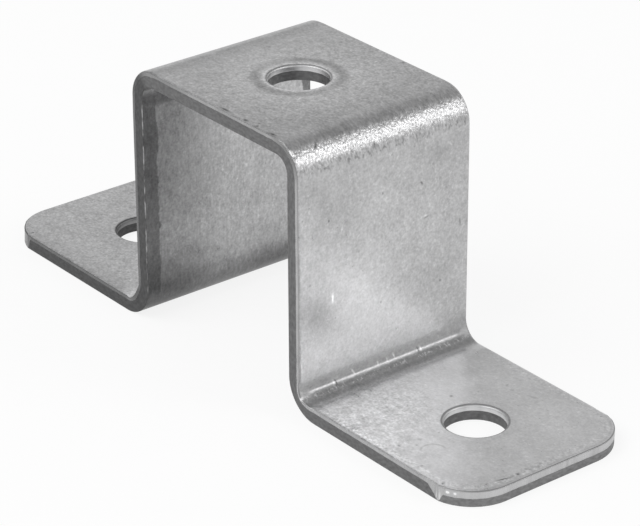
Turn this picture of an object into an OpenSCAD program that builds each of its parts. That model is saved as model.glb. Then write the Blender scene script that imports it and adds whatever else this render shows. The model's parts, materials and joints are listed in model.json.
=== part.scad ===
// Strut cross connector: a hat-shaped bracket, folded from one punched steel strip.
// A strut lies under the hat, and the two feet are bolted to the strut that crosses it.
// X runs from foot to foot, Y across the strip, Z up. The feet stand on z = 0.

/* [Strip] */
// Width of the steel strip
strip_w = 38; // [30:0.5:60]
// Thickness of the steel strip
strip_t = 3; // [2:0.1:5]
// Radius of the rolled edge that the shears leave along the strip's outer side
edge_roll = 0.4; // [0.1:0.05:0.8]

/* [Hat] */
// Width of the strut that lies under the hat
strut_w = 41.3; // [30:0.1:60]
// Play between the strut and the two legs
strut_play = 0.2; // [0:0.1:2]
// Clear height under the top
clear_h = 47.5; // [25:0.5:90]
// Inside radius of the two bends at the top
top_bend_r = 3; // [1:0.25:8]
// Radius of the two bends at the feet, on their hollow side
foot_bend_r = 3.75; // [1:0.25:8]

/* [Feet] */
// Length of a foot, from the leg's outer face to its end
foot_len = 43.75; // [34:0.25:70]
// Radius of the corners at a foot's end
corner_r = 9; // [2:0.5:14]
// How far the cropping punch overlaps each side of the strip, which leaves a slight corner there
crop_over = 0.2; // [0.05:0.05:0.5]

/* [Holes] */
// Diameter of the hole in the top
top_hole_d = 11; // [6:0.5:18]
// Diameter of the hole in each foot
foot_hole_d = 11; // [6:0.5:18]
// Distance from the leg's outer face to the centre of the foot's hole
foot_hole_out = 24.25; // [15:0.25:30]
// Radius of the rolled rim that the punch leaves round each hole
rim_roll = 0.5; // [0.1:0.05:0.8]

/* [Hidden] */
$fn = 96;
clear_w = strut_w + strut_play;        // gap between the legs' inner faces
leg_in = clear_w / 2;                  // a leg's inner face
leg_out = leg_in + strip_t;            // a leg's outer face
foot_end = leg_out + foot_len;         // a foot's end
foot_hole_x = leg_out + foot_hole_out; // centre of a foot's hole
through = 1;                           // how far a punch runs past the strip

// Half of the strip's section, from x = 0 out to its edge, with the outer side up
module half_section(half_w) {
    square([half_w, strip_t - edge_roll]);
    square([half_w - edge_roll, strip_t]);
    translate([half_w - edge_roll, strip_t - edge_roll]) circle(edge_roll);
}

// The strip's whole section: x across the strip, y through it, outer side up
module strip_section() {
    half_section(strip_w / 2);
    mirror([1, 0]) half_section(strip_w / 2);
}

// A flat stretch of strip along +X, with its outer side up
module flat_run(run) {
    rotate([90, 0, 90]) linear_extrude(run) strip_section();
}

// A quarter bend about the Y axis, from +X to +Z, with the outer side on its outside
module bend_out(inner_r) {
    rotate([90, 0, 0]) rotate_extrude(angle = 90)
        translate([inner_r, 0]) rotate(-90) strip_section();
}

// The same with the outer side on its hollow side, of radius hollow_r
module bend_in(hollow_r) {
    rotate([90, 0, 0]) rotate_extrude(angle = 90)
        translate([hollow_r + strip_t, 0]) rotate(90) strip_section();
}

// What the cropping punch leaves of a foot's end: a straight end between two rounded corners
module cropped_end() {
    side = strip_w / 2 + crop_over - corner_r;
    for (flip = [0, 1])
        mirror([0, flip, 0]) translate([0, side, 0]) rotate_extrude(angle = 90) half_section(corner_r);
    translate([0, side, 0]) rotate([90, 0, 0]) linear_extrude(2 * side) half_section(corner_r);
}

// One half of the folded strip, from the middle of the top to the end of a foot
module folded_half() {
    top_run = leg_in - top_bend_r;
    leg_low = strip_t + foot_bend_r;
    leg_high = clear_h - top_bend_r;
    foot_start = leg_out + foot_bend_r;
    foot_stop = foot_end - corner_r;
    translate([0, 0, clear_h]) flat_run(top_run);
    translate([top_run, 0, leg_high]) bend_out(top_bend_r);
    translate([leg_in, 0, leg_high]) rotate([0, 90, 0]) flat_run(leg_high - leg_low);
    translate([foot_start, 0, leg_low]) rotate([0, 180, 0]) bend_in(foot_bend_r);
    translate([foot_start, 0, 0]) flat_run(foot_stop - foot_start);
    translate([foot_stop, 0, 0]) intersection() {
        flat_run(corner_r + through);
        cropped_end();
    }
}

// What a punch takes out: a straight bore under a rolled rim, through strip from z = 0 up
module punched_hole(hole_d) {
    hole_r = hole_d / 2;
    translate([0, 0, -through]) cylinder(d = hole_d, h = strip_t + 2 * through);
    rotate_extrude() difference() {
        translate([0, strip_t - rim_roll]) square([hole_r + rim_roll, rim_roll + through]);
        translate([hole_r + rim_roll, strip_t - rim_roll]) circle(rim_roll);
    }
}

module cross_connector() {
    color([0.68, 0.69, 0.70]) difference() {
        union() {
            folded_half();
            mirror([1, 0, 0]) folded_half();
        }
        translate([0, 0, clear_h]) punched_hole(top_hole_d);
        for (side = [-1, 1]) translate([side * foot_hole_x, 0, 0]) punched_hole(foot_hole_d);
    }
}

cross_connector();
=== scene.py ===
"""Strut cross connector: one strip of zinc-plated steel, punched, cropped and folded into a hat.

The strip is made as the press makes it. A flat blank with its sheared edges and punched rims comes
first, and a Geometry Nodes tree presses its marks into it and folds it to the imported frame's sizes.
Blank coordinates are in millimetres: s along the strip, y across it, n through it from the inner side.
"""
import json
import math

import bmesh
import bpy
import numpy as np
from mathutils import Matrix, Vector
from mathutils.geometry import delaunay_2d_cdt
from mathutils.noise import noise


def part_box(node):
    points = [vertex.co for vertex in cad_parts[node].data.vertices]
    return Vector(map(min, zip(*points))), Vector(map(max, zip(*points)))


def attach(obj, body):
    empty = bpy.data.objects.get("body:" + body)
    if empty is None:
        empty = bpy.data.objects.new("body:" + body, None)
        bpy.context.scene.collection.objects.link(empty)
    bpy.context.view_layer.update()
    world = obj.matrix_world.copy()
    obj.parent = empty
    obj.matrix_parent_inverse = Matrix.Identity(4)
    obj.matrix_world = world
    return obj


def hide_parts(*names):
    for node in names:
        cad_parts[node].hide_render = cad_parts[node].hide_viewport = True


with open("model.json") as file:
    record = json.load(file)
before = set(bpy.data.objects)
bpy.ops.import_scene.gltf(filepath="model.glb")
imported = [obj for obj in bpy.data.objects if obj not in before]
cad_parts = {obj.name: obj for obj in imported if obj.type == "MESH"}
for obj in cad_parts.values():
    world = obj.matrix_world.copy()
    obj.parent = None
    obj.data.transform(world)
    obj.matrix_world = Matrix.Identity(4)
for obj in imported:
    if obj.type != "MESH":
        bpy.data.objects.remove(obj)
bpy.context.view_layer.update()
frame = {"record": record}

# Sizes in millimetres, from the frame
NODE = "cross_connector"
MM = 0.001
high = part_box(NODE)[1] / MM
mounts = {m["name"]: m for m in frame["record"]["mounts"]}


def mount_at(name, axis):
    """Where a mount of the record stands along an axis, in millimetres."""
    return mounts[name]["pos_m"][axis] / MM


THICK = high.z - mount_at("top_underside", 2)
HALF_W = high.y
LEG_IN = mount_at("right_leg_inner", 0)
HOLE_X = mount_at("right_foot_hole", 0)
HOLE_R = mounts["top_hole"]["dims"]["r_mm"]

# Sizes of the press tools
TOP_BEND = 3.0       # hollow radius of the bends at the top
FOOT_BEND = 3.75     # hollow radius of the bends at the feet
CREASE_TURN = 0.418  # share of a foot bend's turn at which the folding blade leaves its crease
CORNER = 9.0         # radius of the cropping punch's corners
CROP_OVER = 0.2      # how far that punch overlaps the strip's sides
QUARTER = math.pi / 2

# The fold, measured along the middle of the strip's thickness
TOP_MID = TOP_BEND + THICK / 2
FOOT_MID = FOOT_BEND + THICK / 2
LEG_RUN = high.z - 2 * THICK - TOP_BEND - FOOT_BEND
FOOT_X = LEG_IN + THICK + FOOT_BEND
S_TOP = LEG_IN - TOP_BEND                # the top bend starts
S_LEG = S_TOP + QUARTER * TOP_MID        # the leg starts
S_BEND = S_LEG + LEG_RUN                 # the foot bend starts
S_FOOT = S_BEND + QUARTER * FOOT_MID     # the foot starts
S_END = S_FOOT + high.x - FOOT_X         # the strip ends
S_HOLE = S_FOOT + HOLE_X - FOOT_X        # a foot's hole
S_CREASE = S_BEND + CREASE_TURN * QUARTER * FOOT_MID

# The cropping punch's corners
CROP_SIDE = HALF_W + CROP_OVER - CORNER                    # centre of a corner, across the strip
CROP_TURN = math.asin((HALF_W - CROP_SIDE) / CORNER)       # how much of a quarter turn is cut
KINK = S_END - CORNER + CORNER * math.cos(CROP_TURN)       # where a corner meets the side


class Wire:
    """A socket of a node tree. Wires and numbers go into Python expressions together."""

    def __init__(self, bench, socket):
        self.bench = bench
        self.socket = socket

    def __add__(self, other):
        return self.bench.math("ADD", self, other)

    __radd__ = __add__

    def __sub__(self, other):
        return self.bench.math("SUBTRACT", self, other)

    def __rsub__(self, other):
        return self.bench.math("SUBTRACT", other, self)

    def __mul__(self, other):
        return self.bench.math("MULTIPLY", self, other)

    __rmul__ = __mul__

    def __truediv__(self, other):
        return self.bench.math("DIVIDE", self, other)

    def __rtruediv__(self, other):
        return self.bench.math("DIVIDE", other, self)

    def __abs__(self):
        return self.bench.math("ABSOLUTE", self)


class Bench:
    """Adds nodes to a node tree."""

    def __init__(self, tree):
        self.tree = tree

    def add(self, kind, settings, sockets, out=0):
        """A node of a type, with its settings and the values or wires of its sockets."""
        node = self.tree.nodes.new(kind)
        for name, value in settings.items():
            setattr(node, name, value)
        for name, value in sockets.items():
            if isinstance(value, Wire):
                self.tree.links.new(value.socket, node.inputs[name])
            else:
                node.inputs[name].default_value = value
        return Wire(self, node.outputs[out]) if node.outputs else None

    def math(self, operation, *terms):
        return self.add("ShaderNodeMath", {"operation": operation}, dict(enumerate(terms)))

    def larger(self, a, b):
        return self.math("MAXIMUM", a, b)

    def smaller(self, a, b):
        return self.math("MINIMUM", a, b)

    def within(self, x, least, most):
        return self.smaller(self.larger(x, least), most)

    def distance(self, x, y):
        return self.math("SQRT", x * x + y * y)

    def mix(self, a, b, share):
        """a where share is 0, b where it is 1."""
        return a + (b - a) * share

    def rise(self, x, start, end):
        """0 where x is at start and 1 where it is at end, smooth between."""
        settings = {"interpolation_type": "SMOOTHSTEP", "clamp": False}
        return self.add("ShaderNodeMapRange", settings, {0: x, 1: start, 2: end, 3: 0.0, 4: 1.0})

    def hump(self, x, reach):
        """1 where x is 0, falling smoothly to 0 where it is reach away."""
        return 1.0 - self.rise(abs(x), 0.0, reach)

    def scratch(self, s, y, half_long, half_wide, lean=0.0, bow=0.0):
        """1 on a short mark about s = y = 0. lean turns it off the strip's length, bow curves it."""
        if lean:
            c, d = math.cos(lean), math.sin(lean)
            s, y = c * s + d * y, c * y - d * s
        if bow:
            y = y + bow * s * s
        return self.hump(s, half_long) * self.hump(y, half_wide)

    def split(self, vector):
        node = self.add("ShaderNodeSeparateXYZ", {}, {0: vector}).socket.node
        return [Wire(self, node.outputs[i]) for i in range(3)]

    def join(self, x, y, z):
        return self.add("ShaderNodeCombineXYZ", {}, {0: x, 1: y, 2: z})

    def cloud(self, place, grain, detail, seed):
        """Noise about a mean of a half. grain is its size along s, y and n, or one size for all."""
        sizes = grain if isinstance(grain, tuple) else (grain, grain, grain)
        where = self.join(*[x / size + seed for x, size in zip(place, sizes)])
        sockets = {"Vector": where, "Scale": 1.0, "Detail": detail, "Roughness": 0.5}
        return self.add("ShaderNodeTexNoise", {}, sockets)

    def mottle(self, place, grain, detail, seed):
        """The same noise about a mean of 0."""
        return self.cloud(place, grain, detail, seed) - 0.5


# The flat blank

STEP = 0.8                                                 # between points over the flats
TOP_BEND_STEP, FOOT_BEND_STEP = 0.36, 0.33                 # in the bends
CORNER_STEP, END_STEP = 0.2, 0.5                           # round a corner and across an end
CORNER_RUN, CORNER_CLEAR = 3.9, 0.1                        # fine stretch before a corner, and the gap to it
CREASE_ROWS = np.array([0.05, 0.15, 0.27, 0.40, 0.56])     # rows on both sides of the crease
CREASE_CLEAR = 0.7                                         # where they take the place of the others
HOLE_POINTS = 120
CLEAR_OF_SIDES, CLEAR_OF_HOLES = 0.45, 0.35                # room between the edges' own rows and the points
SKIN, BURNISH, TORN = 0, 1, 2                              # what a place of the surface is
EDGE_SKINS = (1.5, 1.0, 0.75)                              # insets of the skin's last rows at an edge
FOOT_RINGS = (1.5, 1.15, 0.9)                              # the same round a foot's hole
TOP_RINGS = tuple(np.arange(3.9, 0.65, -0.25))             # and round the top hole, which has a ring mark


def spaced(start, end, step):
    return np.linspace(start, end, max(2, round(abs(end - start) / step) + 1))


def blank_lines():
    """Places along half of the strip, closer in the bends and closest at the crease."""
    runs = [(0.0, S_TOP, STEP), (S_TOP, S_LEG, TOP_BEND_STEP), (S_LEG, S_BEND, STEP),
            (S_BEND, S_FOOT, FOOT_BEND_STEP), (S_FOOT, S_END, STEP)]
    lines = np.concatenate([spaced(*run) for run in runs])
    lines = lines[abs(lines - S_CREASE) > CREASE_CLEAR]
    return np.unique(np.round(np.concatenate([lines, S_CREASE + CREASE_ROWS, S_CREASE - CREASE_ROWS]), 4))


def quarter_outline():
    """Stations from the middle of a long edge to the middle of an end: s, y, inward s, inward y."""
    lines = blank_lines()
    lines = lines[lines < KINK - CORNER_RUN - CORNER_CLEAR]
    along = np.concatenate([lines, spaced(KINK - CORNER_RUN, KINK, CORNER_STEP)])
    rows = [(s, -HALF_W, 0.0, 1.0) for s in along]
    for angle in spaced(CROP_TURN, 0.0, CORNER_STEP / CORNER)[1:-1]:
        c, d = math.cos(angle), math.sin(angle)
        rows.append((S_END - CORNER + CORNER * c, -CROP_SIDE - CORNER * d, -c, d))
    rows += [(S_END, y, -1.0, 0.0) for y in spaced(-CROP_SIDE, 0.0, END_STEP)]
    return np.array(rows)


def whole_outline():
    """The quarter's four copies as one loop."""
    near = quarter_outline()
    far = near[::-1] * [1, -1, 1, -1]
    quarters = [near, far, near * [-1, -1, -1, -1], far * [-1, -1, -1, -1]]
    return np.concatenate([quarter[:-1] for quarter in quarters])


def hole_outline(centre):
    angle = np.linspace(0, 2 * math.pi, HOLE_POINTS, endpoint=False)
    c, d = np.cos(angle), np.sin(angle)
    return np.stack([centre + HOLE_R * c, HOLE_R * d, c, d], axis=1)


# The cut edges

# How a tool leaves an edge: the roll's width, depth and rubbed part, how far the burnish reaches
# below it, and how much that border wanders
CROPPED = ((0.32, 0.18, 0.7), 1.20, 0.06)
PUNCHED = ((0.5, 0.45, 0.8), 0.66, 0.06)
SHEARED_TOP = ((0.36, 0.26, 0.2), 0.40, 0.20)
SHEARED_ROLL = (0.40, 0.26, 0.5)
BEND_ROLL = (0.2, 0.12, 0.0)             # what the top bend adds to that roll
LEG_SHINE, FOOT_SHINE, SHEARED_WANDER = 0.50, 0.42, 0.16

TORN_FOOT = 0.12                         # height at which the torn band turns into the inner skin
LEAST_TORN = 0.16                        # height at which it starts at the lowest
LEAST_SHINE = 0.15                       # share of the burnish that is there at the least
TEAR, LEAST_TEAR = 0.05, 0.01            # how deep the torn band lies behind the burnish
TEAR_ROUGH = ((0.04, 0.5), (0.03, 1.6))  # how much that varies, and over which lengths

# Where an edge's rows lie: as shares of the roll and of each band, and then round the lower corner
ROLL_ROWS = np.linspace(0, 1, 7)
BURNISH_ROWS = (0.08, 0.4, 0.75, 0.97)
TORN_ROWS = (0.05, 0.2, 0.38, 0.56, 0.74, 0.9)
LOWER_ROWS = ((0.07, 0.10, TORN), (0.10, 0.03, TORN), (0.17, 0.0, TORN), (0.22, 0.0, SKIN), (0.3, 0.0, SKIN))

# At a corner the punch met the sheared side, and a facet climbs the cut on both sides of the kink.
# Each pair is how far off the kink it starts and the length it climbs over: before the kink, past it
RIGHT_FACET = ((0.35, 2.9), (0.3, 1.3))
LEFT_FACET = ((0.3, 0.8), (3.5, 1.5))
FACET_RUN = 3.3                          # how far before the kink a facet can start
FACET_CLIMB = 2.6
FACET_BITE, BITE_RUN = 0.10, 0.8         # how much deeper the punch cut there, and over which height
CUT_INSET = 0.6                          # rows within this inset belong to the cut
FLAT_INSET = 0.9                         # from here on the skin takes the tools' marks in full


def uneven(s, y, n, grain):
    """Noise about 0, of a grain in millimetres."""
    return noise(Vector((s / grain, y / grain, n / grain)))


def facet_foot(s):
    """How far down the burnish reaches at a corner."""
    past = abs(s) - KINK
    clear, reach = (LEFT_FACET if s < 0 else RIGHT_FACET)[0 if past < 0 else 1]
    return TORN_FOOT + FACET_CLIMB * (max(0.0, abs(past) - clear) / reach) ** 0.8


def on_facet(s, inset, height, sort):
    """A step of the edge at a corner, with the punch's deeper cut above the facet's foot."""
    above = min(1.0, max(0.0, (height - facet_foot(s)) / BITE_RUN))
    return inset + FACET_BITE * above * (inset < CUT_INSET), height, sort


def edge_steps(station, roll, shine, wander, skins, corner=False):
    """How an edge runs from the outer skin over the cut to the inner skin: (inset, height, sort)."""
    s, y = station[:2]
    wide, deep, rubbed = roll
    top = THICK - deep
    steps = [(inset, THICK, SKIN) for inset in skins]
    for part in ROLL_ROWS:
        inset, height = wide - wide * math.sin(part * QUARTER), top + deep * math.cos(part * QUARTER)
        steps.append((inset, height, BURNISH if part > 1.01 - rubbed else SKIN))
    border = 1 + wander * (uneven(s, y, 0, 1.1) + uneven(s, y, 9, 4.0))
    torn = top - shine * max(LEAST_SHINE, border)
    if corner:
        torn = min(torn, facet_foot(s))
    torn = max(torn, LEAST_TORN)
    steps += [(0.0, top + (torn - top) * part, BURNISH) for part in BURNISH_ROWS]
    for part in TORN_ROWS:
        height = torn + (TORN_FOOT - torn) * part
        tear = TEAR + sum(much * uneven(s, y, height, grain) for much, grain in TEAR_ROUGH)
        steps.append((max(LEAST_TEAR, tear), height, TORN))
    steps += LOWER_ROWS
    steps += [(inset, 0.0, SKIN) for inset in skins[::-1]]
    return [on_facet(s, *step) for step in steps] if corner else steps


def outline_steps(station):
    """The sides of the strip, sheared from the coil, and its two ends, cropped by the punch."""
    s = abs(station[0])
    if s > KINK:
        return edge_steps(station, *CROPPED, EDGE_SKINS, corner=True)
    if s < S_TOP:
        return edge_steps(station, *SHEARED_TOP, EDGE_SKINS)
    bent = max(0.0, 1 - abs(s - (S_TOP + S_LEG) / 2) / (S_LEG - S_TOP))
    roll = [size + bent * more for size, more in zip(SHEARED_ROLL, BEND_ROLL)]
    shine = LEG_SHINE if s < S_BEND else FOOT_SHINE
    return edge_steps(station, roll, shine, SHEARED_WANDER, EDGE_SKINS, corner=s > KINK - FACET_RUN)


def hole_steps(rings):
    return lambda station: edge_steps(station, *PUNCHED, rings)


class Blank:
    """The flat blank's points and faces, as they are laid out."""

    def __init__(self):
        self.points, self.skin, self.sorts, self.faces = [], [], [], []
        self.pairs, self.spots, self.ties = [], [], []     # points of both skins, one above the other

    def run_edge(self, loop, steps_of):
        """Runs an edge's steps round a loop of stations, and ties both skins to its ends."""
        start, count = len(self.points), len(loop)
        table = [steps_of(station) for station in loop]
        rows = len(table[0])
        for row in range(rows):
            for (s, y, ds, dy), steps in zip(loop, table):
                inset, height, sort = steps[row]
                self.points.append((s + inset * ds, y + inset * dy, height))
                self.skin.append(min(1.0, inset / FLAT_INSET) if sort == SKIN else 0.0)
                self.sorts.append(sort)
        for row in range(rows - 1):
            for k in range(count):
                a, b = start + row * count + k, start + row * count + (k + 1) % count
                self.faces.append((a, b, b + count, a + count))
        last, first = start + (rows - 1) * count, len(self.pairs)
        self.pairs += [(start + k, last + k) for k in range(count)]
        self.spots += [Vector(self.points[start + k][:2]) for k in range(count)]
        self.ties += [(first + k, first + (k + 1) % count) for k in range(count)]

    def spread_points(self, holes):
        """Points of both skins inside the loops, a little clear of the edges' own rows."""
        lines = blank_lines()
        across = spaced(-HALF_W, HALF_W, STEP)
        s, y = [axis.ravel() for axis in np.meshgrid(np.concatenate([-lines[:0:-1], lines]), across)]
        rim = EDGE_SKINS[0] + CLEAR_OF_SIDES
        inside = (abs(y) < HALF_W - rim) & (abs(s) < S_END - rim)
        in_corner = (abs(s) > S_END - CORNER) & (abs(y) > CROP_SIDE)
        inside &= ~in_corner | (np.hypot(abs(s) - S_END + CORNER, abs(y) - CROP_SIDE) < CORNER - rim)
        for centre, rings in holes:
            inside &= np.hypot(s - centre, y) > HOLE_R + rings[0] + CLEAR_OF_HOLES
        for place in zip(s[inside], y[inside]):
            self.pairs.append((len(self.points), len(self.points) + 1))
            self.spots.append(Vector(place))
            self.points += [(*place, THICK), (*place, 0.0)]
            self.skin += [1.0, 1.0]
            self.sorts += [SKIN, SKIN]

    def fill_skins(self, holes):
        """Triangles over both skins, apart from the holes and their own rows."""
        self.spread_points(holes)
        places, _, triangles, origins = delaunay_2d_cdt(self.spots, self.ties, [], 1, 1e-5)[:4]
        for corners in triangles:
            middle = sum((places[c] for c in corners), Vector((0, 0))) / 3
            if any(math.hypot(middle.x - centre, middle.y) < HOLE_R + rings[0] for centre, rings in holes):
                continue
            upper, lower = zip(*[self.pairs[origins[c][0]] for c in corners])
            self.faces += [upper, lower[::-1]]

    def mesh(self):
        """The closed mesh, with its skin and its cuts stored on its points."""
        mesh = bpy.data.meshes.new("flat_blank")
        mesh.from_pydata(self.points, [], self.faces)
        sorts = np.array(self.sorts)
        stored = {"skin": np.array(self.skin), "burnish": sorts == BURNISH, "torn": sorts == TORN}
        for name, values in stored.items():
            data = mesh.attributes.new(name, "FLOAT", "POINT").data
            data.foreach_set("value", values.astype(np.float32))
        work = bmesh.new()
        work.from_mesh(mesh)
        bmesh.ops.recalc_face_normals(work, faces=work.faces)
        work.to_mesh(mesh)
        work.free()
        mesh.shade_smooth()
        return mesh


def flat_blank():
    """The cropped and punched blank."""
    holes = [(0.0, TOP_RINGS), (S_HOLE, FOOT_RINGS), (-S_HOLE, FOOT_RINGS)]
    blank = Blank()
    blank.run_edge(whole_outline(), outline_steps)
    for centre, rings in holes:
        blank.run_edge(hole_outline(centre), hole_steps(rings))
    blank.fill_skins(holes)
    return blank.mesh()


# The marks that the press tools leave, for the fold tree and the finish alike

def tool_marks(b, place):
    """Masks of the tools' marks, and distances from what they lie along, from blank coordinates."""
    s, y, n = place
    outer = b.rise(n, THICK * 0.45, THICK * 0.55)
    # The imprint stops short of the sides along a ragged border, and less so at the far one
    wander = 1.8 * b.mottle(place, 5.0, 3.0, 3.7) + 0.9 * b.mottle(place, 1.1, 2.0, 6.6)
    side = HALF_W - abs(y)
    pressed = b.rise(side + 1.1 * b.rise(y, 0.0, 2.0) - wander, 2.9, 3.3)
    pressed = pressed * b.rise(abs(s), S_LEG + 1.2, S_LEG + 2.6) * b.rise(abs(s), S_BEND + 2.5, S_BEND - 2.5)
    return {"outer": outer, "imprint": pressed * (1.0 - outer), "side": side, "off_crease": abs(s) - S_CREASE,
            "crease_run": b.rise(side, 0.6, 2.6), "from_hole": b.distance(s, y) - HOLE_R}


# The fold

FOLD_SIZES = {
    "Thickness": THICK, "Half of top": S_TOP, "Top bend middle radius": TOP_MID, "Leg": LEG_RUN,
    "Foot bend middle radius": FOOT_MID, "Height of top": high.z - THICK / 2,
    "Crease depth": 0.27, "Ring depth": 0.045, "Imprint depth": 0.03, "Waviness": 0.02, "Bulge": 0.7,
}
CREASE_ROUND, CREASE_WIDE = 0.42, 0.95   # how round the crease is at its bottom, and how fast it fades
BULGE_WIDE = 4.0


def fold_tree(finish):
    """Presses the tools' marks into the blank, folds it into the hat and gives it its finish."""
    tree = bpy.data.node_groups.new("Fold", "GeometryNodeTree")
    tree.interface.new_socket("Geometry", in_out="INPUT", socket_type="NodeSocketGeometry")
    tree.interface.new_socket("Geometry", in_out="OUTPUT", socket_type="NodeSocketGeometry")
    for name in FOLD_SIZES:
        tree.interface.new_socket(name, in_out="INPUT", socket_type="NodeSocketFloat")
    b = Bench(tree)
    source = tree.nodes.new("NodeGroupInput")
    strip = Wire(b, source.outputs["Geometry"])
    size = {name: Wire(b, source.outputs[name]) for name in FOLD_SIZES}
    place = b.add("GeometryNodeInputPosition", {}, {})
    stored = {"data_type": "FLOAT_VECTOR", "domain": "POINT"}
    strip = b.add("GeometryNodeStoreNamedAttribute", stored,
                  {"Geometry": strip, "Name": "blank", "Value": place})
    s, y, n = b.split(place)
    skin = b.add("GeometryNodeInputNamedAttribute", {"data_type": "FLOAT"}, {"Name": "skin"})

    # What the tools press in, as a depth below each skin
    marks = tool_marks(b, (s, y, n))
    reach = b.distance(marks["off_crease"], CREASE_ROUND) / CREASE_WIDE
    crease = b.math("POWER", math.e, -1.0 * reach) * marks["crease_run"] * marks["outer"]
    ring = b.hump(marks["from_hole"] - 2.1, 1.6) * marks["outer"]
    depth = size["Crease depth"] * crease + size["Ring depth"] * ring
    depth = depth + size["Imprint depth"] * marks["imprint"]
    depth = depth + size["Waviness"] * b.cloud((s, y, n), 7.0, 2.0, 1.3)
    n = n + skin * depth * (1.0 - 2.0 * marks["outer"])

    # The way along the middle of the thickness, run by run
    turn_top = QUARTER * size["Top bend middle radius"]
    turn_foot = QUARTER * size["Foot bend middle radius"]
    way = abs(s)
    on_top = b.smaller(way, size["Half of top"])
    way = way - size["Half of top"]
    out = b.within(way / turn_top, 0.0, 1.0) * QUARTER
    way = way - turn_top
    down = b.within(way, 0.0, size["Leg"])
    way = way - size["Leg"]
    back = b.within(way / turn_foot, 0.0, 1.0) * QUARTER
    on_foot = b.larger(way - turn_foot, 0.0)
    x = on_top + size["Top bend middle radius"] * b.math("SINE", out) + on_foot
    x = x + size["Foot bend middle radius"] * (1.0 - b.math("COSINE", back))
    z = size["Height of top"] - size["Top bend middle radius"] * (1.0 - b.math("COSINE", out))
    z = z - down - size["Foot bend middle radius"] * b.math("SINE", back)

    # The near edge of a foot bend bulges where folding squeezes its hollow side
    height = n / size["Thickness"]
    bulge = size["Bulge"] * b.math("SINE", 2.0 * back) * height * height
    y = y - bulge * b.hump(y + HALF_W, BULGE_WIDE)
    tilt, off = out - back, n - size["Thickness"] / 2
    x = (x + off * b.math("SINE", tilt)) * b.math("SIGN", s)
    z = z + off * b.math("COSINE", tilt)
    folded = b.join(x * MM, y * MM, z * MM)
    strip = b.add("GeometryNodeSetPosition", {}, {"Geometry": strip, "Position": folded})
    strip = b.add("GeometryNodeRealizeInstances", {}, {"Geometry": strip})
    strip = b.add("GeometryNodeSetMaterial", {}, {"Geometry": strip, "Material": finish})
    tree.links.new(strip.socket, tree.nodes.new("NodeGroupOutput").inputs[0])
    return tree


def folded_strip(finish):
    """The strip as a plain mesh, folded from the blank."""
    flat = bpy.data.objects.new("flat_blank", flat_blank())
    bpy.context.collection.objects.link(flat)
    fold = flat.modifiers.new("Fold", "NODES")
    fold.node_group = fold_tree(finish)
    for item in fold.node_group.interface.items_tree:
        if item.name in FOLD_SIZES:
            fold[item.identifier] = FOLD_SIZES[item.name]
    ready = flat.evaluated_get(bpy.context.evaluated_depsgraph_get())
    mesh = bpy.data.meshes.new_from_object(ready)
    mesh.name = "strip"
    strip = bpy.data.objects.new("strip", mesh)
    bpy.context.collection.objects.link(strip)
    bpy.data.objects.remove(flat)
    return strip


# The finish. Its numbers are millimetres on the blank, or shares by which a step changes the tone

SKIN_TONE, BURNISH_TONE, TORN_TONE = 0.50, 0.38, 0.19
SKIN_ROUGH, BURNISH_ROUGH, TORN_ROUGH = 0.32, 0.28, 0.60
BLUE_CAST = 1.008
RELIEF, RELIEF_STRENGTH = 0.03, 0.55
DARKEST_NICK = 0.2

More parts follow.
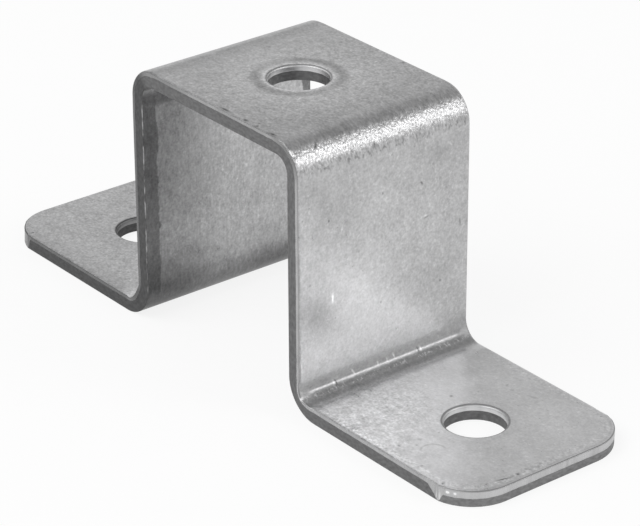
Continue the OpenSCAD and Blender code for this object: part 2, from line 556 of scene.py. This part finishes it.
# Nicks and specks on the outer skin, from handling, soft patches of the zinc, and a few painted glints, a
# painted light patch and a painted shade band. They are counted
# from a line of the fold: s, y, half length, half width, change of tone, lean, bow
MARKS_AND_PAINTED_LIGHT = (
    # The top, from its middle
    (0.0, ((3.2, -18.45, 1.9, 0.44, -0.85), (8.9, -18.45, 0.9, 0.44, -0.80), (12.1, -18.4, 0.5, 0.42, -0.75),
           (16.4, -18.45, 1.2, 0.44, -0.80), (6.4, 18.3, 0.5, 0.4, -0.50))),
    # The top bend, first a painted glint on its near edge
    (S_TOP, ((3.23, -18.66, 0.7, 0.38, 1.60), (3.4, -13.7, 1.5, 0.36, -0.60, -0.76),
             (5.6, -2.3, 0.6, 0.6, -0.45), (5.2, -1.4, 0.6, 0.5, 0.60, -0.7))),
    # The leg
    (S_LEG, ((7.5, -0.6, 0.45, 0.32, -0.60), (8.1, 8.1, 0.6, 0.32, -0.60, 0.6),
             (9.2, -12.4, 0.45, 0.32, -0.60), (14.6, 9.1, 0.28, 0.9, 0.30, 0.15),
             (14.7, 13.5, 0.30, 1.4, 0.25, 0.4), (15.0, 9.1, 0.28, 0.9, -0.45, 0.15),
             (18.1, 17.0, 1.2, 0.26, -0.45, 0.15), (20.1, -16.5, 0.4, 0.35, -0.40),
             (24.0, -11.6, 1.3, 0.36, 1.00), (28.3, -0.9, 0.4, 0.32, -0.55), (28.3, 12.6, 0.4, 0.4, -0.45))),
    # Soft patches of the leg
    (S_LEG, ((3.4, 11.5, 3.5, 4.5, -0.13), (4.0, -15.0, 5.0, 5.0, -0.08), (4.0, 15.0, 5.0, 5.0, -0.08),
             (7.0, -11.5, 4.0, 4.0, -0.10), (9.0, 0.0, 3.5, 6.0, 0.06), (12.5, 15.0, 3.0, 4.0, 0.06),
             (18.5, -15.0, 3.0, 4.0, -0.06), (26.5, -14.6, 4.5, 3.5, -0.14), (33.5, -15.0, 2.5, 4.0, 0.06),
             (36.5, 15.0, 3.0, 4.0, 0.08))),
    # The foot bend: painted shade across its whole width, and a painted glint at its near end
    (S_BEND, ((0.3, 0.0, 1.8, 60.0, -0.09), (4.3, -18.9, 0.6, 0.8, 1.80))),
    # Nicks across the crease, and last a painted light patch at its near end
    (S_CREASE, ((0.1, -11.4, 1.4, 0.30, -0.70, 0.0, 0.3), (-0.2, -11.9, 1.4, 0.36, 0.50, 0.0, 0.3),
                (-0.1, 7.2, 1.2, 0.26, -0.60, 0.0, 0.3), (-0.2, 7.8, 1.4, 0.34, 0.60, 0.0, 0.3),
                (-0.9, -7.4, 1.0, 0.34, 1.10, 0.3), (-0.7, -1.9, 0.8, 0.28, 0.90),
                (-0.7, 0.2, 0.8, 0.28, 0.80), (-0.9, 1.8, 1.0, 0.30, 1.00, 0.2),
                (0.7, -17.0, 1.3, 1.6, 0.16))),
    # The foot
    (S_FOOT, ((11.4, 2.4, 0.55, 0.5, -0.65), (14.5, 12.5, 0.4, 0.9, -0.25, 0.5),
              (16.4, 12.0, 0.8, 0.4, -0.25, 0.3), (18.9, -15.6, 0.6, 0.45, -0.50),
              (19.5, -11.5, 0.8, 0.6, -0.30), (20.5, 13.1, 1.2, 0.5, -0.25, 0.2),
              (20.6, -13.2, 0.5, 0.45, -0.45), (26.4, -16.9, 0.6, 0.5, -0.40),
              (38.0, -4.2, 0.5, 0.5, -0.40), (38.1, -9.3, 0.30, 2.2, -0.80, -0.25),
              (38.4, -6.4, 0.6, 0.5, -0.80), (38.7, -2.2, 0.5, 0.5, -0.35),
              (38.9, -5.6, 0.5, 0.4, 0.40), (40.2, 3.2, 0.5, 0.6, -0.30))),
    # Soft patches of the foot
    (S_FOOT, ((5.5, 8.0, 5.0, 6.0, -0.10), (18.5, 9.0, 9.0, 6.0, 0.06), (22.5, -16.0, 6.0, 4.0, -0.06),
              (31.0, -15.5, 9.0, 4.0, -0.11), (33.0, -8.0, 6.0, 5.0, 0.05))),
)


class Spot:
    """A spot on the strip: its blank coordinates, and the masks and noise that the steps share."""

    def __init__(self, b):
        blank, burnish, torn = [b.add("ShaderNodeAttribute", {"attribute_name": name}, {}, out=out)
                                for name, out in (("blank", "Vector"), ("burnish", "Fac"), ("torn", "Fac"))]
        self.place = self.s, self.y, self.n = b.split(blank)
        self.way = abs(self.s)
        marks = tool_marks(b, self.place)
        self.outer, self.imprint = marks["outer"], marks["imprint"]
        self.side, self.off_crease, self.from_hole = marks["side"], marks["off_crease"], marks["from_hole"]
        self.inner = 1.0 - self.outer
        self.left, self.right = b.rise(self.s, 0.0, -1.0), b.rise(self.s, 0.0, 1.0)

        # Noise, from the finest grain to cloudy patches
        self.grain = b.mottle(self.place, 0.42, 2.0, 5.1)
        self.drawn = b.mottle(self.place, (0.44, 0.38, 0.38), 2.0, 3.3)
        self.fleck = b.mottle(self.place, (0.9, 0.8, 0.8), 3.0, 8.3)
        self.blotch = b.mottle(self.place, (2.0, 1.8, 1.8), 2.0, 1.7)
        self.patch = b.mottle(self.place, (6.0, 5.0, 5.0), 3.0, 2.9)
        self.pits = b.rise(b.cloud(self.place, (0.8, 0.7, 0.7), 1.0, 9.4), 0.74, 0.82)

        # Runs of the strip
        self.on_top = b.rise(self.way, S_TOP + 2.0, S_TOP - 1.0) * self.outer
        self.below_top = b.rise(self.way, S_TOP, S_LEG)
        self.on_leg = self.below_top * b.rise(self.way, S_BEND + 2.0, S_BEND)
        self.on_crop = b.rise(self.way, KINK - 0.5, KINK + 0.5)
        self.bent = b.rise(self.way, S_TOP - 1.0, S_TOP + 1.0) * b.rise(self.way, S_LEG + 1.0, S_LEG - 1.0)
        self.bent = self.bent * self.outer
        self.core = b.rise(self.way, S_TOP + 1.8, S_TOP + 3.8) * b.rise(self.way, S_LEG + 0.3, S_LEG - 2.2)
        self.core = self.core * self.outer
        past_end = b.larger(self.way - S_END + CORNER, 0.0)
        past_side = b.larger(abs(self.y) - CROP_SIDE, 0.0)
        self.inset = CORNER - b.distance(past_end, past_side)

        # The crease of a foot bend and its two ends
        self.crease = b.hump(self.off_crease - 0.12, 0.55) * b.rise(self.side, 1.2, 2.2)
        end = self.side + 0.6 * b.rise(self.y, 0.0, -2.0)
        self.crease_ends = b.hump(self.off_crease, 1.8) * b.rise(end, 3.4, 2.0)

        # The cut edges
        self.burnish, self.torn = b.rise(burnish, 0.3, 0.7), b.rise(torn, 0.3, 0.7)
        self.cut = b.smaller(self.burnish + self.torn, 1.0)
        in_hole = b.smaller(self.from_hole, b.distance(self.way - S_HOLE, self.y) - HOLE_R)
        self.punched = b.rise(in_hole, 0.52, 0.42)
        self.rolled = b.larger(b.rise(self.n, THICK - 0.02, THICK - 0.12), self.punched)
        self.rolled = self.rolled * self.outer * (1.0 - self.cut)
        self.shoulder = b.rise(self.n, THICK - 0.30, THICK - 0.06)
        self.left_side = b.rise(self.s, -S_TOP - 1.0, -S_TOP - 4.0)
        self.streak = b.mottle(self.place, (0.35, 0.35, 6.0), 2.0, 4.4)
        self.tear = b.mottle(self.place, (0.9, 0.9, 0.5), 3.0, 6.2)


# The steps of the skin's tone. Each gives a factor

def rolled_skin(b, at):
    """Zinc on the rolled skin: fine grain, flecks, pits, light threads, and wrinkles inside."""
    on_foot = b.rise(at.s + 0.8 * at.y, S_FOOT + 2.0, S_FOOT + 14.0) * at.outer
    near_bend = b.hump(at.s - S_FOOT - 8.0, 16.0) * b.rise(at.y, 4.0, -8.0) * at.outer
    lively = 1.0 + 0.8 * at.on_top * (1.0 - 0.5 * b.rise(at.s, -4.0, -12.0)) - 0.35 * on_foot
    lively = lively + 0.9 * near_bend + 0.6 * at.left * b.rise(at.way, S_BEND, S_FOOT) + 0.2 * at.inner
    mottled = lively * (0.55 * at.grain + 0.50 * at.fleck + 0.28 * at.blotch) + 0.32 * at.patch
    threads = b.rise(abs(b.mottle(at.place, (1.4, 1.0, 1.0), 1.0, 7.2)), 0.035, 0.0)
    threads = threads * b.rise(at.fleck, 0.0, 0.15)
    wrinkles = b.mottle(at.place, (1.9, 0.55, 0.55), 3.0, 4.9) * at.inner
    return (1.0 + mottled) * (1.0 + 0.16 * threads - 0.3 * at.pits + 0.48 * wrinkles)


def press_marks(b, at):
    """The rim and the ring round the top hole, and the dull margins that the imprint leaves."""
    rim = b.rise(at.from_hole, 0.34, 0.44) * b.rise(at.from_hole, 1.0, 0.7)
    ring = b.hump(at.from_hole - 2.2, 1.7) * b.rise(at.from_hole, 0.8, 1.3)
    ring = ring * (0.45 + 0.55 * b.rise(abs(at.y), 2.0, 6.0))
    margin = at.inner * (1.0 - at.imprint) * at.below_top
    far = b.rise(at.y, 0.0, 8.0) * b.rise(at.way, S_FOOT, S_BEND)
    return (1.0 + at.outer * (0.22 * rim - 0.37 * ring)) * (1.0 - margin * (0.46 + 0.14 * far))


def foot_bends(b, at):
    """The hollow of the foot bends is darkened as painted shade, more so above the crease and lightened below
    it, with a painted highlight on the crease, painted shade on both sides of it and at its ends, and specks.
    """
    hollow = b.rise(at.way, S_BEND - 3.6, S_BEND + 1.0) * b.rise(at.way, S_FOOT + 1.4, S_FOOT - 2.6)
    hollow = hollow * (1.0 - 0.45 * b.hump(at.off_crease - 1.6, 1.8))
    above, below = b.hump(at.off_crease + 1.0, 1.7), b.hump(at.off_crease - 5.0, 2.7)
    shade = b.larger(b.hump(at.off_crease - 1.1, 0.7), b.hump(at.off_crease + 0.55, 0.4))
    shade = shade * b.rise(at.side, 1.8, 3.5)
    specks = b.rise(b.cloud(at.place, (0.7, 0.45, 0.45), 1.0, 8.8), 0.55, 0.66)
    specks = specks * b.hump(at.off_crease - 1.3, 1.1)
    # Painted shade over the hollow and above the crease, painted light below it, a painted highlight on the
    # crease and painted shade at its ends
    painted_shading = 1.0 - at.outer * (0.20 * hollow + 0.17 * above - 0.24 * below)
    return painted_shading * (1.0 + at.outer * (0.65 * specks + 0.18 * at.crease - 0.12 * shade - 0.26 * at.crease_ends))


def top_shades(b, at):
    """The top is darker towards its outline, and more so by the right bend and the near side."""
    middle = b.rise(b.distance(at.s / S_TOP, at.y / HALF_W * 1.15), 1.05, 0.5)
    by_bend = 0.10 * b.rise(at.s, 9.0, 16.0)
    by_side = 0.08 * b.rise(at.y, -8.0, -16.0) * b.rise(at.s, -8.0, 12.0)
    return (1.0 - 0.12 * at.on_top * (1.0 - middle)) * (1.0 - at.on_top * (by_bend + by_side))


def leg_shades(b, at):
    """The right leg is lighter in its middle. The left one is darker inside, near, and low down, where
    painted shade stands for the shaded floor that it mirrors.
    """
    middle = b.hump(at.way - S_LEG - 20.0, 17.0) * b.hump(at.y + 1.0, 16.0) * at.outer * at.right
    top_end = b.hump(at.way - S_TOP - 1.0, 5.0) * at.outer * at.left
    near = b.rise(at.y, 2.0, -16.0) * at.inner * at.left * at.on_leg
    # Painted shade low down inside the left leg, for the shaded floor under the hat that it mirrors
    low_down = b.rise(at.way, S_BEND - 10.0, S_BEND) * at.inner * at.left
    low_down = low_down * (0.16 + 0.32 * b.rise(at.y, 0.0, -14.0))
    return (1.0 + 0.12 * middle) * (1.0 - 0.22 * top_end) * (1.0 - 0.34 * near) * (1.0 - low_down)


def foot_shades(b, at):
    """The right foot gets lighter towards its end and in its far half, as painted light, and the left one is
    darker at its near side.
    """
    along = at.s - S_FOOT
    stages = 0.07 * b.rise(along, 0.0, 5.0) + 0.07 * b.rise(along, 22.0, 30.0)
    far_half = 0.10 * b.rise(along, 6.0, 11.0) * b.rise(at.y, 1.0, 9.0)
    end = 0.09 * b.rise(along, 25.0, 30.0) * b.hump(at.y, 9.0)
    near_side = 0.12 * at.left * b.rise(at.way, S_FOOT, S_FOOT + 2.0) * b.rise(at.y, -14.5, -18.5)
    # Painted light: the right foot lighter in steps towards its end, in its far half and in the middle of its
    # end
    lighter = (1.0 + at.outer * stages) * (1.0 + at.outer * far_half) * (1.0 + at.outer * end)
    return lighter * (1.0 - at.outer * near_side)


def foot_margins(b, at):
    """The right foot's margins, peppered by the shears and the punch."""
    peppered = b.hump(at.inset - 1.5, 1.2) * b.rise(at.way, S_FOOT + 2.0, S_FOOT + 10.0)
    peppered = peppered * (1.0 - 0.6 * b.rise(at.y, 0.0, 12.0))
    dappled = b.rise(at.y, -2.0, -14.0) * b.hump(at.way - S_FOOT - 16.0, 22.0)
    margins = peppered * (0.8 * at.fleck + 0.6 * at.grain) + dappled * (0.35 * at.blotch + 0.15 * at.fleck)
    return 1.0 + at.outer * at.right * margins


def top_bends(b, at):
    """The top bends: stretched grain, a painted light crest where they start, painted shade above and below
    their highlight, a painted lighter middle under it, and a row of dark specks.
    """
    # A painted light crest where the bend starts, and painted shade above and below its highlight
    lead = b.rise(at.way, S_TOP, S_TOP + 0.6) * b.rise(at.way, S_TOP + 1.9, S_TOP + 1.0)
    bend_shade = 1.3 * b.hump(at.way - S_TOP - 2.6, 1.1) + 1.9 * b.hump(at.way - S_LEG + 1.3, 1.5)
    dotted = b.rise(b.cloud(at.place, (0.7, 0.6, 0.6), 1.0, 6.9), 0.54, 0.66)
    dotted = dotted * b.hump(at.way - S_LEG + 0.7, 1.1) * at.outer
    stretched_and_lit = 1.0 + at.drawn * (0.3 * at.bent + 1.1 * at.core)
    # A painted lighter middle where the bend's highlight lies
    stretched_and_lit = stretched_and_lit * (1.0 + 0.18 * at.core)
    return (1.0 + 0.12 * at.outer * (lead - bend_shade)) * stretched_and_lit * (1.0 - 0.36 * dotted)


def scratches(b, at):
    """A curved scratch round the right foot's hole, and a faint seam inside the left leg."""
    arc = b.hump(b.distance(at.s - S_FOOT - 23.8, at.y + 12.2) - 2.2, 0.34)
    arc = arc * b.rise(at.s - at.y * 0.5, S_FOOT + 29.9, S_FOOT + 28.9) * at.outer * at.right
    off = at.y + 2.0
    seam_s = at.s + S_LEG + 17.0 + 0.012 * off * off - 0.25 * at.y
    seam = b.scratch(seam_s, at.y - 4.5, 0.45, 7.5) * at.inner
    return (1.0 - 0.26 * arc) * (1.0 - 0.12 * seam)


def rolled_edges(b, at):
    """The rolls are darkened as painted shade that dims their highlights, less so on the legs, the top hole's
    rim and where a bend catches light, and painted shade lies in the crease along the right foot's cropped
    end.
    """
    caught = b.rise(at.way, S_TOP + 2.6, S_TOP + 3.4) * at.bent
    # Painted shade on the rolls, dimming their highlights
    roll_shade = at.rolled * (1.0 - 0.8 * caught) * (1.0 - at.on_crop * at.left) * (1.0 - 0.6 * at.on_leg)
    roll_shade = roll_shade * (1.0 - 0.75 * b.rise(at.way, S_TOP, 8.0) * at.punched)
    # Painted shade in the crease where the cropped end's roll meets the skin
    lip_shade = b.hump(at.inset - 0.62, 0.4) * at.on_crop * at.outer * at.right
    return (1.0 - 0.42 * roll_shade) * (1.0 - 0.12 * lip_shade)


def mark_and_light_tone(b, at):
    """The small marks of the outer skin, with the painted glints, light patch and shade band among them, all
    together.
    """
    change = 0.0
    for start, marks in MARKS_AND_PAINTED_LIGHT:
        for s, y, half_long, half_wide, much, *turned in marks:
            change = change + much * b.scratch(at.s - start - s, at.y - y, half_long, half_wide, *turned)
    return b.larger(1.0 + at.outer * change, DARKEST_NICK)


# The tones of the cut edges

def burnished_tone(b, at, marks_and_light):
    """The band that the tools rubbed bright, with painted shade on its rolled shoulder, the facets at the
    right foot's corners and painted glints on the right foot's near corner.
    """
    cloudy = b.mottle(at.place, (4.0, 3.0, 9.0), 2.0, 5.7)
    tone = BURNISH_TONE + 0.08 * at.below_top + 0.07 * at.on_crop + 0.26 * at.punched
    tone = tone * (1.0 + 0.16 * at.streak + 0.5 * cloudy)
    # Painted shade on the shoulder, dimming the roll's highlight
    tone = tone * (1.0 - (0.40 + 0.14 * at.punched) * at.shoulder) * marks_and_light
    top_left = b.rise(at.s, -2.0, -14.0) * b.rise(at.way, S_TOP + 2.0, S_TOP - 2.0)
    by_bend = b.hump(at.way - (S_TOP + S_LEG) / 2, 6.5)
    tone = tone * (1.0 - 0.25 * top_left) * (1.0 - 0.60 * at.left_side) * (1.0 - 0.45 * by_bend)
    facet = b.hump(at.way - KINK, 1.6) * b.rise(at.n, THICK, 0.6) * at.right
    tone = tone * (1.0 + facet * (3.0 * b.mottle(at.place, (0.22, 0.22, 9.0), 1.0, 1.2) - 0.06))
    # Painted glints at the top of the burnish, past the right foot's near kink
    painted_glint = b.hump(at.way - KINK - 1.75, 0.45) + 0.7 * b.hump(at.way - KINK - 2.9, 0.35)
    painted_glint = painted_glint * b.hump(at.n - 2.3, 0.35) * b.rise(at.y, -10.0, -12.0) * at.right
    return tone + 0.8 * painted_glint


def torn_tone(b, at):
    """The band where the steel tore, with a ragged bright burr along the left leg's near edge."""
    tone = TORN_TONE * (1.0 + at.tear) * (1.0 - 0.40 * at.left_side) * (1.0 + 0.32 * at.on_crop)
    ragged = b.rise(b.cloud(at.place, (2.2, 1.0, 1.0), 3.0, 2.2), 0.44, 0.68)
    burr = b.rise(at.n, 0.30, 0.12) * b.rise(at.y + HALF_W, 0.4, 0.25)
    burr = burr * b.rise(at.way, S_LEG - 1.0, S_LEG + 1.0) * b.rise(at.way, S_BEND + 2.0, S_BEND)
    return tone + 0.30 * burr * ragged * at.left_side


def zinc_tone(b, at):
    """How light the metal is."""
    steps = (rolled_skin, press_marks, foot_bends, top_shades, leg_shades, foot_shades, foot_margins,
             top_bends, scratches, rolled_edges)
    tone = SKIN_TONE
    for step in steps:
        tone = tone * step(b, at)
    marks_and_light = mark_and_light_tone(b, at)
    tone = b.mix(tone * marks_and_light, burnished_tone(b, at, marks_and_light), at.burnish)
    return b.mix(tone, torn_tone(b, at), at.torn)


def zinc_roughness(b, at):
    skin = SKIN_ROUGH + 0.05 * at.bent + 0.16 * at.fleck + 0.10 * at.patch + 0.28 * at.rolled
    skin = skin + 0.13 * at.outer * (at.crease + at.crease_ends)
    burnished = BURNISH_ROUGH + 0.1 * at.streak + 0.12 * at.punched
    burnished = burnished + 0.25 * at.shoulder * (1.0 + 0.6 * at.punched)
    return b.within(b.mix(b.mix(skin, burnished, at.burnish), TORN_ROUGH, at.torn), 0.1, 0.9)


def zinc_relief(b, at):
    skin = (0.55 * at.grain + 0.7 * at.fleck + 0.5 * at.blotch) * (1.0 - at.cut) - 0.2 * at.pits
    scuffs = (9.5 * at.drawn + 9.0 * at.blotch) * at.core
    cuts = 2.0 * at.torn * at.tear + 0.2 * at.burnish * (1.0 - at.torn) * at.streak
    height = {"Strength": RELIEF_STRENGTH, "Distance": RELIEF * MM, "Height": skin + scuffs + cuts}
    return b.add("ShaderNodeBump", {}, height)


def zinc_finish():
    """Bright zinc over rolled steel: fine grain, cloudy patches, tool marks and sheared edges."""
    finish = bpy.data.materials.new("zinc_plated_steel")
    finish.use_nodes = True
    finish.node_tree.nodes.clear()
    b = Bench(finish.node_tree)
    at = Spot(b)
    tone = zinc_tone(b, at)
    colour = b.add("ShaderNodeCombineColor", {}, {0: tone, 1: tone, 2: tone * BLUE_CAST})
    roughness, relief = zinc_roughness(b, at), zinc_relief(b, at)
    shell = b.add("ShaderNodeBsdfPrincipled", {}, {
        "Base Color": colour, "Metallic": 1.0, "Roughness": roughness, "Normal": relief})
    b.add("ShaderNodeOutputMaterial", {}, {"Surface": shell})
    return finish


strip = folded_strip(zinc_finish())
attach(strip, "root")
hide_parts(NODE)


# The studio

AZIMUTH, ELEVATION, ROLL = 51.545, 26.514, 0.249           # the photo's viewing angle, in degrees
AIM = (5.675, 0.0, 16.517)                                 # what the camera looks at, in millimetres
AWAY = 546.636                                             # how far off that it stands
LENS = 173.106
WHITE = (1.0, 1.0, 1.0, 1.0)
PAPER = (0.9, 0.9, 0.9, 1.0)
PAPER_GLOW, PAPER_MIRRORED = 0.85, 0.5                     # how white the camera and the metal see it
TENT, OVERHEAD = 0.94, 0.55                                # the tent's level, and how much dimmer it is above
FLOOR_HALF = 3.0                                           # half of the floor's side, in metres
FLOOR_GAP = 0.05                                           # millimetres between the part and the floor


def photo_camera():
    """A long lens at the photo's viewing angle."""
    azimuth, elevation, roll = [math.radians(angle) for angle in (AZIMUTH, ELEVATION, ROLL)]
    level = math.cos(elevation)
    back = Vector((math.sin(azimuth) * level, -math.cos(azimuth) * level, math.sin(elevation)))
    camera = bpy.data.objects.new("camera", bpy.data.cameras.new("camera"))
    bpy.context.collection.objects.link(camera)
    camera.data.lens = LENS
    camera.data.clip_start, camera.data.clip_end = 0.01, 50.0
    facing = (-back).to_track_quat("-Z", "Y").to_matrix() @ Matrix.Rotation(-roll, 3, "Z")
    place = Vector(AIM) * MM + back * (AWAY * MM)
    camera.matrix_world = Matrix.Translation(place) @ facing.to_4x4()
    bpy.context.scene.camera = camera


def background_rays(b):
    """1 for rays that look for the background: the camera's, and those off metal."""
    rays = b.add("ShaderNodeLightPath", {}, {}).socket.node
    camera, glossy, clear = [Wire(b, rays.outputs[name]) for name in
                             ("Is Camera Ray", "Is Glossy Ray", "Is Transmission Ray")]
    return camera, b.larger(glossy, clear)


def studio_world():
    """White to the camera, and a pale tent round the part that is dimmer overhead."""
    world = bpy.data.worlds.new("studio")
    bpy.context.scene.world = world
    world.use_nodes = True
    world.node_tree.nodes.clear()
    b = Bench(world.node_tree)
    camera, _ = background_rays(b)
    height = b.split(b.add("ShaderNodeTexCoord", {}, {}, out="Generated"))[2]
    level = b.mix(TENT - OVERHEAD * b.rise(height, 0.2, 0.9), 1.0, camera)
    sky = b.add("ShaderNodeBackground", {}, {"Color": WHITE, "Strength": level})
    b.add("ShaderNodeOutputWorld", {}, {"Surface": sky})


def softbox(name, way, away, width, height, power):
    """A soft square lamp, away metres from the part and facing it."""
    lamp = bpy.data.lights.new(name, "AREA")
    lamp.shape, lamp.size, lamp.size_y, lamp.energy = "RECTANGLE", width, height, power
    box = bpy.data.objects.new(name, lamp)
    bpy.context.collection.objects.link(box)
    way = Vector(way).normalized()
    box.matrix_world = Matrix.Translation(way * away) @ (-way).to_track_quat("-Z", "Y").to_matrix().to_4x4()


def studio_floor():
    """A wide white floor that keeps the part's shadow."""
    mesh = bpy.data.meshes.new("floor")
    far, low_down = FLOOR_HALF, -FLOOR_GAP * MM
    corners = [(-far, -far, low_down), (far, -far, low_down), (far, far, low_down), (-far, far, low_down)]
    mesh.from_pydata(corners, [], [(0, 1, 2, 3)])
    floor = bpy.data.objects.new("floor", mesh)
    bpy.context.collection.objects.link(floor)
    paper = bpy.data.materials.new("white_paper")
    paper.use_nodes = True
    paper.node_tree.nodes.clear()
    b = Bench(paper.node_tree)
    camera, glossy = background_rays(b)
    matt = b.add("ShaderNodeBsdfDiffuse", {}, {"Color": PAPER})
    lit = b.add("ShaderNodeEmission", {}, {"Color": WHITE, "Strength": 1.0})
    seen = b.larger(camera * PAPER_GLOW, glossy * PAPER_MIRRORED)
    mix = b.add("ShaderNodeMixShader", {}, {0: seen, 1: matt, 2: lit})
    b.add("ShaderNodeOutputMaterial", {}, {"Surface": mix})
    mesh.materials.append(paper)


photo_camera()
studio_world()
studio_floor()
softbox("key", way=(0.69, 0.47, 0.51), away=0.9, width=0.34, height=0.28, power=1.3)
softbox("front", way=(-0.15, -0.65, 0.85), away=1.3, width=1.2, height=0.9, power=9.0)
bpy.context.scene.view_settings.view_transform = "Standard"
